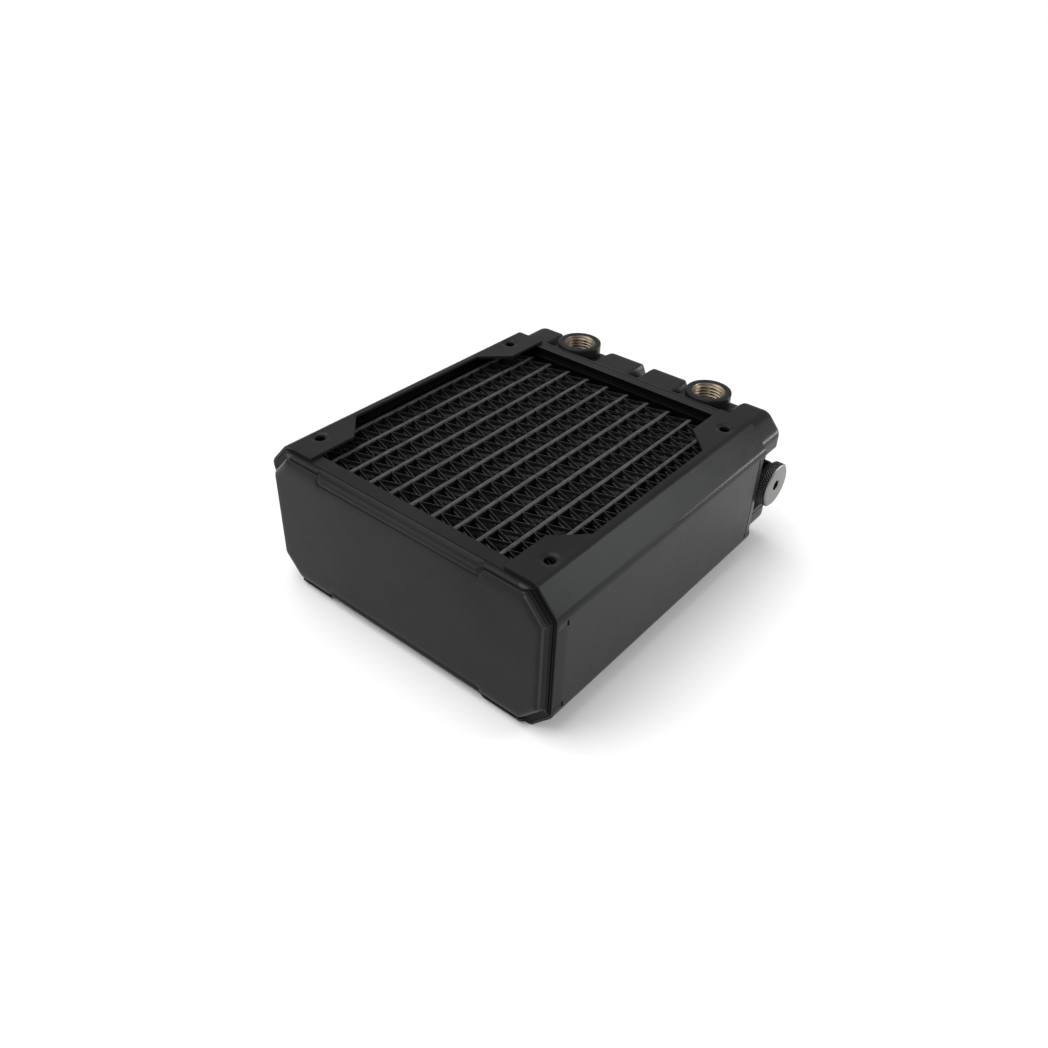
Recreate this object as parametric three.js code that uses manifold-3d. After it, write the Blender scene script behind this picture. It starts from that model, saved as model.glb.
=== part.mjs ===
// Liquid cooling radiator for one 120 mm fan, in millimetres, +Z up.
// X runs across the tubes, Y along them from the return tank to the port tank.
// Sub-parts are laid out about the centre of the core, halfway up its thickness,
// and one group moves them to the bottom centre of the whole part's box.
import * as THREE from 'three';
import { mergeVertices } from 'three/addons/utils/BufferGeometryUtils.js';
import { ConvexGeometry } from 'three/addons/geometries/ConvexGeometry.js';
import Module from 'manifold-3d';

const wasm = await Module();
wasm.setup();

// ---- driving dimensions -------------------------------------------------
const GAP = 0.3;                 // clearance between neighbouring pieces
const HALF_THICKNESS = 30.2;     // fan face to mid plane
const CUT_REACH = 12;            // how far cutters run past the surface they open

// side panels, bent from sheet
const SHEET = 1.0;
const PANEL_HALF_LENGTH = 64.2;
const PANEL_HALF_WIDTH = 66.0;
const FLANGE_OUTER = 57.2;       // where the flange turns into the chamfer
const WALL_HALF_HEIGHT = 20.5;   // where the chamfer turns into the wall
const FLANGE_INNER = 54.5;       // flange edge beside the core
const GUSSET_INNER = 44.0;       // flange edge at the corners
const GUSSET_START = 33.5;       // where the 45 degree edge leaves the flange
const GUSSET_END = 44.0;         // where it reaches the gusset
const RELIEF_INSET = 4.5;        // bend relief slots, from the panel's end
const RELIEF_WIDTH = 1.2;
const RELIEF_HEIGHT = 2.6;
const RELIEF_BELOW_BEND = 3.2;

// fan holes, 120 mm fan pattern
const FAN_HOLE_HALF_SPACING = 52.5;
const FAN_HOLE_RADIUS = 2.0;

// header plates
const HEADER_FACE = 58.4;        // web face towards the core
const HEADER_SHOULDER = 60.1;    // where the sloped edge meets the rim wall
const HEADER_RIM = 64.5;         // open rim towards the tank
const HEADER_INSET = 1.9;        // rim wall below the panel's outer surface
const HEADER_TOP = 28.9;
const HEADER_HALF_WIDTH = 64.1;
const HEADER_WALL = 1.5;
const HEADER_SLOPE = 3.4;

// core: two rows of flat tubes with folded fins between the columns
const TUBE_COLUMNS = 12;
const TUBE_PITCH = 9.93;
const TUBE_THICKNESS = 2.0;
const TUBE_WALL = 0.5;
const TUBE_TOP = 24.7;
const TUBE_BOTTOM = 1.0;         // half the space between the two rows
const TUBE_HALF_LENGTH = 61.4;   // tube ends stand inside the header plates
const FIN_TOP = 24.4;
const FIN_TOP_OUTER = 19.4;      // outer strips stay below the panel's chamfer
const FIN_HALF_LENGTH = 57.8;
const FIN_FOLDS = 37;            // half periods along a strip
const FIN_BAND = 0.9;            // sheet measured straight across the strip

// return tank
const TANK_START = 64.8;
const TANK_WALL = 1.2;
const LIP_DEPTH = 1.2;
const RECESS_START = 66.1;       // recesses and pinches begin just behind the lip
const RETURN_FACE = 67.9;
const RETURN_HALF_WIDTH = 62.0;
const RETURN_TOP = 26.0;
const RETURN_INSET = 2.9;
const RETURN_EDGE = 0.8;         // rounding of the face's edge
const SHOULDER_HALF_WIDTH = 37.5;
const SHOULDER_TOP = 23.2;       // face edge across the middle

// port tank
const PORT_BACK = 84.4;
const PORT_HALF_WIDTH = 63.0;
const PORT_TOP = 27.2;
const PORT_INSET = 2.6;
const PORT_EDGE = 5.0;
const VALLEY_TOP_HALF = 3.6;     // pinch between the two chambers
const VALLEY_FLOOR_HALF = 1.2;
const VALLEY_DEPTH = 5.0;
const VALLEY_BACK_DEPTH = 2.4;
const DIVIDER_THICKNESS = 1.4;

// ports and vent, all G1/4
const PORT_X = 32.2;
const PORT_Y = 75.6;
const RECESS_HALF = 12.2;
const RECESS_FLOOR = 24.9;
const COLLAR_RADIUS = 9.18;
const COLLAR_TOP = 29.7;
const NECK_RADIUS = 7.2;
const NECK_END = 16.4;
const THREAD_MINOR = 5.75;
const THREAD_MAJOR = 6.58;
const THREAD_CHAMFER = 0.6;
const VENT_RECESS_X = 59.5;
const VENT_RECESS_HALF = 12.2;
const BOSS_RADIUS = 8.0;
const BOSS_FACE = 62.3;
const BOSS_NECK_RADIUS = 7.3;
const BOSS_END = 52.0;
const PLUG_FACE = 68.2;
const PLUG_UNDERSIDE = 64.2;
const PLUG_RADIUS = 9.17;
const PLUG_CHAMFER = 0.5;
const PLUG_SHANK_RADIUS = 6.2;
const PLUG_SHANK_END = 55.5;
const PLUG_SOCKET_RADIUS = 2.3;
const PLUG_SOCKET_DEPTH = 3.0;
const SEAL_RADIUS = 7.25;
const SEAL_SECTION = 0.65;
const ROUND_SEGMENTS = 32;

// ---- materials ----------------------------------------------------------
function makeMaterial(name, color, roughness, metalness) {
  const material = new THREE.MeshStandardMaterial({ color, roughness, metalness });
  material.name = name;
  return material;
}

const powderCoat = () => makeMaterial('powder_coat', 0x2c2e2c, 0.5, 0.0);
const coreBlack = () => makeMaterial('core_paint', 0x1a1c1c, 0.6, 0.0);
const tubeGrey = () => makeMaterial('tube_paint', 0x44474a, 0.5, 0.0);
const brass = () => makeMaterial('brass', 0xb08a55, 0.3, 1.0);
const plugMetal = () => makeMaterial('plug_metal', 0x9a9b98, 0.4, 1.0);
const rubber = () => makeMaterial('rubber', 0x141414, 0.8, 0.0);

// ---- solid helpers ------------------------------------------------------
function toSolid(geometry) {
  const bare = geometry.clone();
  bare.deleteAttribute('normal');
  bare.deleteAttribute('uv');
  const merged = mergeVertices(bare, 1e-4);
  return new wasm.Manifold(new wasm.Mesh({
    numProp: 3,
    vertProperties: new Float32Array(merged.attributes.position.array),
    triVerts: new Uint32Array(merged.index.array),
  }));
}

function toGeometry(solid) {
  const mesh = solid.getMesh();
  const geometry = new THREE.BufferGeometry();
  geometry.setAttribute('position', new THREE.BufferAttribute(mesh.vertProperties, 3));
  geometry.setIndex(new THREE.BufferAttribute(mesh.triVerts, 1));
  geometry.computeVertexNormals();
  return geometry;
}

const subtractAll = (solid, cutters) => cutters.reduce((left, cutter) => left.subtract(cutter), solid);

function makeMesh(name, geometry, material) {
  const mesh = new THREE.Mesh(geometry, material);
  mesh.name = name;
  return mesh;
}

function box(low, high) {
  const size = high.map((value, axis) => value - low[axis]);
  const geometry = new THREE.BoxGeometry(...size);
  geometry.translate(...low.map((value, axis) => value + size[axis] / 2));
  return toSolid(geometry);
}

const shapeOf = (points) => new THREE.Shape(points.map(([u, v]) => new THREE.Vector2(u, v)));

// An outline in X and Z, carried along Y.
function prismAlongY(points, low, high) {
  const geometry = new THREE.ExtrudeGeometry(shapeOf(points), { depth: high - low, bevelEnabled: false });
  geometry.rotateX(Math.PI / 2);
  geometry.translate(0, high, 0);
  return geometry;
}

// An outline in X and Y, carried along Z.
function prismAlongZ(points, low, high) {
  const geometry = new THREE.ExtrudeGeometry(shapeOf(points), { depth: high - low, bevelEnabled: false });
  geometry.translate(0, 0, low);
  return geometry;
}

function cylinderAlongZ(radius, low, high, segments = ROUND_SEGMENTS) {
  const geometry = new THREE.CylinderGeometry(radius, radius, high - low, segments);
  geometry.rotateX(Math.PI / 2);
  geometry.translate(0, 0, (low + high) / 2);
  return geometry;
}

// A closed profile of [radius, height] turned about Z.
function turned(profile) {
  const points = profile.map(([radius, height]) => new THREE.Vector2(radius, height));
  const geometry = new THREE.LatheGeometry(points, ROUND_SEGMENTS);
  geometry.rotateX(Math.PI / 2);
  return geometry;
}

// ---- the shared octagon -------------------------------------------------
// Unit normal of the panel's chamfer and its distance from the centre.
const chamferRun = PANEL_HALF_WIDTH - FLANGE_OUTER;
const chamferDrop = HALF_THICKNESS - WALL_HALF_HEIGHT;
const chamferLength = Math.hypot(chamferRun, chamferDrop);
const chamferNormal = [chamferDrop / chamferLength, chamferRun / chamferLength];
const chamferDistance = chamferNormal[0] * FLANGE_OUTER + chamferNormal[1] * HALF_THICKNESS;

// Upper right corner points of an octagon whose chamfer lies `inset` under the panel's.
function cornerPoints(halfWidth, halfHeight, inset) {
  const reach = chamferDistance - inset;
  const upper = [(reach - chamferNormal[1] * halfHeight) / chamferNormal[0], halfHeight];
  const outer = [halfWidth, (reach - chamferNormal[0] * halfWidth) / chamferNormal[1]];
  return [upper, outer];
}

function octagon(halfWidth, halfHeight, inset) {
  const [[ux, uz], [ox, oz]] = cornerPoints(halfWidth, halfHeight, inset);
  return [[ux, uz], [-ux, uz], [-ox, oz], [-ox, -oz], [-ux, -uz], [ux, -uz], [ox, -oz], [ox, oz]];
}

// Convex body through octagons given as [y, half width, half height, chamfer inset].
function octagonLoft(rings, side = 1) {
  const points = [];
  for (const [y, halfWidth, halfHeight, inset] of rings) {
    for (const [x, z] of octagon(halfWidth, halfHeight, inset)) {
      points.push(new THREE.Vector3(x, side * y, z));
    }
  }
  return toSolid(new ConvexGeometry(points));
}

// ---- side panels --------------------------------------------------------
function panelProfile() {
  const [innerUpper, innerOuter] = cornerPoints(PANEL_HALF_WIDTH - SHEET, HALF_THICKNESS - SHEET, SHEET);
  const outer = [[GUSSET_INNER, HALF_THICKNESS], [FLANGE_OUTER, HALF_THICKNESS], [PANEL_HALF_WIDTH, WALL_HALF_HEIGHT]];
  const inner = [innerOuter, innerUpper, [GUSSET_INNER, HALF_THICKNESS - SHEET]];
  const lower = (points) => points.map(([x, z]) => [x, -z]).reverse();
  return [...outer, ...lower(outer), ...lower(inner), ...inner];
}

function windowCutter() {
  const points = [
    [GUSSET_INNER - 2, -GUSSET_END], [GUSSET_INNER, -GUSSET_END], [FLANGE_INNER, -GUSSET_START],
    [FLANGE_INNER, GUSSET_START], [GUSSET_INNER, GUSSET_END], [GUSSET_INNER - 2, GUSSET_END],
  ];
  return toSolid(prismAlongZ(points, -HALF_THICKNESS - 1, HALF_THICKNESS + 1));
}

function fanHoleCutters() {
  return [-1, 1].map((end) => {
    const geometry = cylinderAlongZ(FAN_HOLE_RADIUS, -HALF_THICKNESS - 1, HALF_THICKNESS + 1, 16);
    geometry.translate(FAN_HOLE_HALF_SPACING, end * FAN_HOLE_HALF_SPACING, 0);
    return toSolid(geometry);
  });
}

function reliefCutters() {
  const cutters = [];
  const centreY = PANEL_HALF_LENGTH - RELIEF_INSET;
  const centreZ = WALL_HALF_HEIGHT - RELIEF_BELOW_BEND;
  for (const y of [-centreY, centreY]) {
    for (const z of [-centreZ, centreZ]) {
      cutters.push(box(
        [PANEL_HALF_WIDTH - 3, y - RELIEF_WIDTH / 2, z - RELIEF_HEIGHT / 2],
        [PANEL_HALF_WIDTH + 3, y + RELIEF_WIDTH / 2, z + RELIEF_HEIGHT / 2],
      ));
    }
  }
  return cutters;
}

function sidePanel(name, side) {
  const bent = toSolid(prismAlongY(panelProfile(), -PANEL_HALF_LENGTH, PANEL_HALF_LENGTH));
  const cut = subtractAll(bent, [windowCutter(), ...fanHoleCutters(), ...reliefCutters()]);
  const placed = side > 0 ? cut : cut.mirror([1, 0, 0]);
  return makeMesh(name, toGeometry(placed), powderCoat());
}

// ---- header plates ------------------------------------------------------
function tubeColumnX(column) {
  return (column - (TUBE_COLUMNS - 1) / 2) * TUBE_PITCH;
}

function slotCutters() {
  const cutters = [];
  for (let column = 0; column < TUBE_COLUMNS; column += 1) {
    const x = tubeColumnX(column);
    const half = TUBE_THICKNESS / 2 + GAP;
    for (const [low, high] of [[TUBE_BOTTOM, TUBE_TOP], [-TUBE_TOP, -TUBE_BOTTOM]]) {
      cutters.push(box([x - half, HEADER_FACE - 1, low - GAP], [x + half, HEADER_RIM + 1, high + GAP]));
    }
  }
  return cutters;
}

function headerPlate(name, side) {
  const outer = octagonLoft([
    [HEADER_FACE, HEADER_HALF_WIDTH - HEADER_SLOPE, HEADER_TOP - HEADER_SLOPE, HEADER_INSET + HEADER_SLOPE],
    [HEADER_SHOULDER, HEADER_HALF_WIDTH, HEADER_TOP, HEADER_INSET],
    [HEADER_RIM, HEADER_HALF_WIDTH, HEADER_TOP, HEADER_INSET],
  ]);
  const wall = HEADER_WALL;
  const inner = octagonLoft([
    [HEADER_FACE + wall, HEADER_HALF_WIDTH - HEADER_SLOPE, HEADER_TOP - HEADER_SLOPE, HEADER_INSET + HEADER_SLOPE],
    [HEADER_SHOULDER + wall, HEADER_HALF_WIDTH - wall, HEADER_TOP - wall, HEADER_INSET + wall],
    [HEADER_RIM + 1, HEADER_HALF_WIDTH - wall, HEADER_TOP - wall, HEADER_INSET + wall],
  ]);
  const plate = subtractAll(outer, [inner, ...slotCutters()]);
  const placed = side > 0 ? plate : plate.mirror([0, 1, 0]);
  return makeMesh(name, toGeometry(placed), powderCoat());
}

// ---- core ---------------------------------------------------------------
function flatTube(name, column, row) {
  const half = TUBE_THICKNESS / 2;
  const corner = half * 0.6;
  const outline = (inset) => {
    const halfX = half - inset;
    const low = TUBE_BOTTOM + inset;
    const high = TUBE_TOP - inset;
    const cut = Math.max(corner - inset, 0.1);
    return [
      [halfX - cut, low], [halfX, low + cut], [halfX, high - cut], [halfX - cut, high],
      [-halfX + cut, high], [-halfX, high - cut], [-halfX, low + cut], [-halfX + cut, low],
    ];
  };
  const shape = shapeOf(outline(0));
  shape.holes.push(new THREE.Path(outline(TUBE_WALL).map(([x, z]) => new THREE.Vector2(x, z))));
  const geometry = new THREE.ExtrudeGeometry(shape, { depth: 2 * TUBE_HALF_LENGTH, bevelEnabled: false });
  geometry.rotateX(Math.PI / 2);
  geometry.translate(0, TUBE_HALF_LENGTH, 0);
  const mesh = makeMesh(name, geometry, tubeGrey());
  mesh.position.x = tubeColumnX(column);
  mesh.rotation.y = row > 0 ? 0 : Math.PI;
  return mesh;
}

function finStrip(name, gapIndex) {
  const isOuter = gapIndex === 0 || gapIndex === TUBE_COLUMNS;
  const halfWidth = (TUBE_PITCH - TUBE_THICKNESS - FIN_BAND) / 2 - GAP;
  const top = isOuter ? FIN_TOP_OUTER : FIN_TOP;
  const pitch = 2 * FIN_HALF_LENGTH / FIN_FOLDS;
  const path = [];
  for (let fold = 0; fold <= FIN_FOLDS; fold += 1) {
    path.push([fold % 2 === 0 ? -halfWidth : halfWidth, -FIN_HALF_LENGTH + fold * pitch]);
  }
  const shifted = (offset) => path.map(([x, y]) => [x + offset, y]);
  const outline = [...shifted(FIN_BAND / 2), ...shifted(-FIN_BAND / 2).reverse()];
  const mesh = makeMesh(name, prismAlongZ(outline, -top, top), coreBlack());
  mesh.position.x = tubeColumnX(gapIndex) - TUBE_PITCH / 2;
  return mesh;
}

function core() {
  const group = new THREE.Group();
  group.name = 'core';
  const label = (number) => String(number).padStart(2, '0');
  for (let column = 0; column < TUBE_COLUMNS; column += 1) {
    group.add(flatTube(`flat_tube_upper_${label(column + 1)}`, column, 1));
    group.add(flatTube(`flat_tube_lower_${label(column + 1)}`, column, -1));
  }
  for (let gapIndex = 0; gapIndex <= TUBE_COLUMNS; gapIndex += 1) {
    group.add(finStrip(`fin_strip_${label(gapIndex + 1)}`, gapIndex));
  }
  return group;
}

// ---- return tank --------------------------------------------------------
// Wedge that lowers the middle of the tank's top edge into a sloped shoulder.
function shoulderCutter(side) {
  const outline = [
    [TANK_START + 0.4, HEADER_TOP], [RETURN_FACE + 0.05, SHOULDER_TOP], [RETURN_FACE + 2, SHOULDER_TOP],
    [RETURN_FACE + 2, HEADER_TOP + 2], [TANK_START + 0.4, HEADER_TOP + 2],
  ];
  const points = [];
  for (const x of [-SHOULDER_HALF_WIDTH, SHOULDER_HALF_WIDTH]) {
    for (const [y, z] of outline) {
      points.push(new THREE.Vector3(x, y, side * z));
    }
  }
  return toSolid(new ConvexGeometry(points));
}

function returnTank() {
  const lip = octagonLoft([
    [TANK_START, HEADER_HALF_WIDTH, HEADER_TOP, HEADER_INSET],
    [TANK_START + LIP_DEPTH, HEADER_HALF_WIDTH, HEADER_TOP, HEADER_INSET],
  ]);
  const body = octagonLoft([
    [TANK_START, RETURN_HALF_WIDTH, RETURN_TOP, RETURN_INSET],
    [RETURN_FACE - RETURN_EDGE, RETURN_HALF_WIDTH, RETURN_TOP, RETURN_INSET],
    [RETURN_FACE, RETURN_HALF_WIDTH - RETURN_EDGE, RETURN_TOP - RETURN_EDGE, RETURN_INSET + RETURN_EDGE],
  ]);
  const wall = TANK_WALL;
  const hollowTop = SHOULDER_TOP - wall;
  const hollow = octagonLoft([
    [TANK_START - 1, RETURN_HALF_WIDTH - wall, hollowTop, RETURN_INSET + wall],
    [RETURN_FACE - wall, RETURN_HALF_WIDTH - wall, hollowTop, RETURN_INSET + wall],
  ]);
  const tank = subtractAll(lip.add(body), [shoulderCutter(1), shoulderCutter(-1), hollow]);
  return makeMesh('return_tank', toGeometry(tank.mirror([0, 1, 0])), powderCoat());
}

// ---- port tank ----------------------------------------------------------
function portRecess(side, grow) {
  const half = RECESS_HALF + grow;
  const x = side * PORT_X;
  return box([x - half, RECESS_START - grow, RECESS_FLOOR - grow],
    [x + half, PORT_BACK + CUT_REACH, RECESS_FLOOR + CUT_REACH]);
}

function ventRecess(grow) {
  const half = VENT_RECESS_HALF + grow;
  return box([VENT_RECESS_X - grow, RECESS_START - grow, -half],
    [VENT_RECESS_X + CUT_REACH, PORT_BACK + CUT_REACH, half]);
}

// V-shaped pinch across the top or bottom, midway between the ports.
function valley(side, grow) {
  const floor = PORT_TOP - VALLEY_DEPTH - grow;
  const slope = (VALLEY_TOP_HALF - VALLEY_FLOOR_HALF) / VALLEY_DEPTH;
  const top = PORT_TOP + 2;
  const halfAt = (z) => VALLEY_FLOOR_HALF + grow + slope * (z - floor);
  const points = [];
  for (const y of [RECESS_START - grow, PORT_BACK + 2]) {
    for (const z of [floor, top]) {
      for (const end of [-1, 1]) {
        points.push(new THREE.Vector3(end * halfAt(z), y, side * z));
      }
    }
  }
  return toSolid(new ConvexGeometry(points));
}

function backValley(grow) {
  const half = VALLEY_FLOOR_HALF + 0.6 + grow;
  return box([-half, PORT_BACK - VALLEY_BACK_DEPTH - grow, -PORT_TOP],
    [half, PORT_BACK + 2, PORT_TOP]);
}

function portTank() {
  const lip = octagonLoft([
    [TANK_START, HEADER_HALF_WIDTH, HEADER_TOP, HEADER_INSET],
    [TANK_START + LIP_DEPTH, HEADER_HALF_WIDTH, HEADER_TOP, HEADER_INSET],
  ]);
  const ring = (y, inset) => [y, PORT_HALF_WIDTH - inset, PORT_TOP - inset, PORT_INSET + inset];
  const body = octagonLoft([
    ring(TANK_START, 0), ring(PORT_BACK - PORT_EDGE, 0),
    ring(PORT_BACK - PORT_EDGE * 0.5, PORT_EDGE * 0.14),
    ring(PORT_BACK - PORT_EDGE * 0.14, PORT_EDGE * 0.5), ring(PORT_BACK, PORT_EDGE),
  ]);
  const wall = TANK_WALL;
  const room = octagonLoft([
    ring(TANK_START - 1, wall), ring(PORT_BACK - PORT_EDGE, wall),
    ring(PORT_BACK - wall - 0.4, PORT_EDGE * 0.5 + wall),
  ]);
  const walls = [portRecess(-1, wall), portRecess(1, wall), ventRecess(wall), backValley(wall)];
  const hollow = subtractAll(room, [...walls, valley(1, wall), valley(-1, wall)]);
  const portHoles = [-1, 1].map((side) => {
    const geometry = cylinderAlongZ(NECK_RADIUS + GAP, NECK_END - 1, RECESS_FLOOR + 2);
    geometry.translate(side * PORT_X, PORT_Y, 0);
    return toSolid(geometry);
  });
  const ventHole = cylinderAlongZ(BOSS_NECK_RADIUS + GAP, BOSS_END - 1, VENT_RECESS_X + 2);
  ventHole.rotateY(Math.PI / 2);
  ventHole.translate(0, PORT_Y, 0);
  const cutters = [
    portRecess(-1, 0), portRecess(1, 0), ventRecess(0), backValley(0), valley(1, 0), valley(-1, 0),
    hollow, ...portHoles, toSolid(ventHole),
  ];
  return makeMesh('port_tank', toGeometry(subtractAll(lip.add(body), cutters)), powderCoat());
}

function tankDivider() {
  const half = DIVIDER_THICKNESS / 2;
  const top = PORT_TOP - VALLEY_DEPTH - TANK_WALL - GAP;
  const near = HEADER_FACE + HEADER_WALL + GAP;
  const far = PORT_BACK - VALLEY_BACK_DEPTH - TANK_WALL - GAP;
  const outline = [[near, -top], [far, -top], [far, top], [near, top]];
  const geometry = new THREE.ExtrudeGeometry(shapeOf(outline), { depth: 2 * half, bevelEnabled: false });
  geometry.rotateY(Math.PI / 2);
  geometry.rotateX(Math.PI / 2);
  const placed = toSolid(geometry).translate([-half, 0, 0]);
  return makeMesh('tank_divider', toGeometry(placed), coreBlack());
}

// ---- threaded sockets and the vent plug ---------------------------------
function threadedSocket(name, shape) {
  const { bore, mouth, collar, neck, face, seat, end } = shape;
  const edge = 0.4;
  const profile = [
    [bore, end], [neck, end], [neck, seat], [collar, seat], [collar, face - edge],
    [collar - edge, face], [mouth, face], [bore, face - (mouth - bore)], [bore, end],
  ];
  return makeMesh(name, turned(profile), brass());
}

function portSocket(name, side) {
  const mesh = threadedSocket(name, {
    bore: THREAD_MINOR, mouth: THREAD_MINOR + THREAD_CHAMFER, collar: COLLAR_RADIUS, neck: NECK_RADIUS,
    face: COLLAR_TOP, seat: RECESS_FLOOR + GAP, end: NECK_END,
  });
  mesh.position.set(side * PORT_X, PORT_Y, 0);
  return mesh;
}

function ventGroup() {
  const group = new THREE.Group();
  group.name = 'vent';
  group.position.set(0, PORT_Y, 0);
  group.rotation.y = Math.PI / 2;
  group.add(threadedSocket('vent_socket', {
    bore: THREAD_MAJOR, mouth: THREAD_MAJOR + 0.2, collar: BOSS_RADIUS, neck: BOSS_NECK_RADIUS,
    face: BOSS_FACE, seat: VENT_RECESS_X + GAP, end: BOSS_END,
  }));
  const plugProfile = [
    [0, PLUG_SHANK_END], [PLUG_SHANK_RADIUS - 0.6, PLUG_SHANK_END], [PLUG_SHANK_RADIUS, PLUG_SHANK_END + 0.6],
    [PLUG_SHANK_RADIUS, PLUG_UNDERSIDE], [PLUG_RADIUS, PLUG_UNDERSIDE], [PLUG_RADIUS, PLUG_FACE - PLUG_CHAMFER],
    [PLUG_RADIUS - PLUG_CHAMFER, PLUG_FACE], [PLUG_SOCKET_RADIUS, PLUG_FACE],
    [PLUG_SOCKET_RADIUS, PLUG_FACE - PLUG_SOCKET_DEPTH], [0, PLUG_FACE - PLUG_SOCKET_DEPTH],
  ];
  group.add(makeMesh('vent_plug', turned(plugProfile), plugMetal()));
  const seal = makeMesh('vent_plug_oring', new THREE.TorusGeometry(SEAL_RADIUS, SEAL_SECTION, 8, ROUND_SEGMENTS), rubber());
  seal.position.z = (BOSS_FACE + PLUG_UNDERSIDE) / 2;
  group.add(seal);
  return group;
}

// ---- assembly -----------------------------------------------------------
const radiator = new THREE.Group();
radiator.name = 'radiator';
radiator.add(sidePanel('side_panel_left', -1));
radiator.add(sidePanel('side_panel_right', 1));
radiator.add(headerPlate('header_plate_return', -1));
radiator.add(headerPlate('header_plate_port', 1));
radiator.add(core());
radiator.add(returnTank());
radiator.add(portTank());
radiator.add(tankDivider());
radiator.add(portSocket('port_socket_left', -1));
radiator.add(portSocket('port_socket_right', 1));
radiator.add(ventGroup());

// The whole part's box runs from the left panel to the plug's face, and from the
// return tank's face to the back of the port collars.
const centreX = (PLUG_FACE - PANEL_HALF_WIDTH) / 2;
const centreY = (PORT_Y + COLLAR_RADIUS - RETURN_FACE) / 2;
radiator.position.set(-centreX, -centreY, HALF_THICKNESS);

const part = new THREE.Group();
part.name = 'liquid_cooling_radiator';
part.add(radiator);

export default part;
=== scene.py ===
"""Looks of a liquid cooling radiator for one 120 mm fan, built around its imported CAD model.

Sizes are in millimetres about the centre of the core, halfway up its thickness, with +X towards
the vent plug, +Y towards the port tank and +Z towards the port openings.
"""

import math
import random

import bmesh
import bpy
import numpy as np
from mathutils import Matrix, Vector, noise
from mathutils.geometry import delaunay_2d_cdt


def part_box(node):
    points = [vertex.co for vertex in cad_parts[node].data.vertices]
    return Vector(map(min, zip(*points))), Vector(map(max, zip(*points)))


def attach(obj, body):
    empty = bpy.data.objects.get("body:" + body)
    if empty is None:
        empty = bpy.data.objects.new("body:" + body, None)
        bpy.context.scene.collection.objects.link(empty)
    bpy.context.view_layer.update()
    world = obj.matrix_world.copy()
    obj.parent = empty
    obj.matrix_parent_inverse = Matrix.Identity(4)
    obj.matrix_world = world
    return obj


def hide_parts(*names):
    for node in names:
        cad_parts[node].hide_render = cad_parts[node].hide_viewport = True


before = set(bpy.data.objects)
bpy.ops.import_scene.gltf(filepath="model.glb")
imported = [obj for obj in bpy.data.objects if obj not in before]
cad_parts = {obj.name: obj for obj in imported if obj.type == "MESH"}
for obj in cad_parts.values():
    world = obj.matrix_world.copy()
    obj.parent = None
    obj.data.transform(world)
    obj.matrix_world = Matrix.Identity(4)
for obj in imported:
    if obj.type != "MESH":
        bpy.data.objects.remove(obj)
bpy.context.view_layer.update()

MM = 0.001
RADIATOR = "radiator"


def node_box(name):
    low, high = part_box(name)
    return (low - CENTRE) / MM, (high - CENTRE) / MM


CENTRE = (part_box("side_panel_left")[0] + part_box("side_panel_right")[1]) / 2
PANEL_LOW, PANEL_HIGH = node_box("side_panel_right")
HALF_WIDTH, HALF_LENGTH, HALF_THICKNESS = PANEL_HIGH
GUSSET_INNER = PANEL_LOW.x
HEADER_LOW, HEADER_HIGH = node_box("header_plate_port")
TANK_LOW, TANK_HIGH = node_box("port_tank")
RETURN_LOW, RETURN_HIGH = node_box("return_tank")
SOCKET_LOW, SOCKET_HIGH = node_box("port_socket_right")
PLUG_LOW, PLUG_HIGH = node_box("vent_plug")
BOSS_LOW, BOSS_HIGH = node_box("vent_socket")
SEAL_LOW, SEAL_HIGH = node_box("vent_plug_oring")

SHEET = 1.0
FLANGE_OUTER = 57.2
WALL_HALF_HEIGHT = 20.5
FLANGE_INNER = 54.5
GUSSET_START = 33.5
GUSSET_END = 44.0
TOP_BEND, WALL_BEND = 3.0, 4.6  # radii of the panel's bends
FAN_HOLE = 52.5  # half the fan's hole spacing
FAN_HOLE_RADIUS = 2.0
TANK_START = TANK_LOW.y
TUBE_COLUMNS = 12

# Corners closer than this many metres become one.
MERGE_FINE, MERGE_TURNED, MERGE_LOFT = 1e-7, 1e-6, 2e-6


# ---- small helpers --------------------------------------------------------
def clamp(value, low=0.0, high=1.0):
    return max(low, min(high, value))


def smooth(start, end, value):
    t = clamp((value - start) / (end - start))
    return t * t * (3 - 2 * t)


def mix(a, b, t):
    return a + (b - a) * t


def link_object(name, data):
    obj = bpy.data.objects.new(name, data)
    bpy.context.scene.collection.objects.link(obj)
    return obj


def make_object(name, points, faces, materials, indices=None):
    """Object from points in millimetres about the core's centre."""
    mesh = bpy.data.meshes.new(name)
    co = np.asarray(points, dtype=np.float64) * MM + np.array(CENTRE)
    mesh.from_pydata(co.tolist(), [], faces if isinstance(faces, list) else faces.tolist())
    for material in materials:
        mesh.materials.append(material)
    if indices is not None:
        mesh.polygons.foreach_set("material_index", indices)
    return link_object(name, mesh)


def clean_mesh(obj, merge, degenerate=None):
    """Merges close corners, drops faces with no area if asked, and turns faces outwards."""
    edit = bmesh.new()
    edit.from_mesh(obj.data)
    bmesh.ops.remove_doubles(edit, verts=edit.verts, dist=merge)
    if degenerate:
        bmesh.ops.dissolve_degenerate(edit, edges=edit.edges, dist=degenerate)
    bmesh.ops.recalc_face_normals(edit, faces=edit.faces)
    edit.to_mesh(obj.data)
    edit.free()


def face_towards(obj, direction):
    """Turns an open shell's normals so that its closed side looks along the direction."""
    axis = Vector(direction)
    if sum(face.normal.dot(axis) * face.area for face in obj.data.polygons) < 0:
        obj.data.flip_normals()


def bake(obj):
    graph = bpy.context.evaluated_depsgraph_get()
    obj.data = bpy.data.meshes.new_from_object(obj.evaluated_get(graph))
    obj.modifiers.clear()


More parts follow.
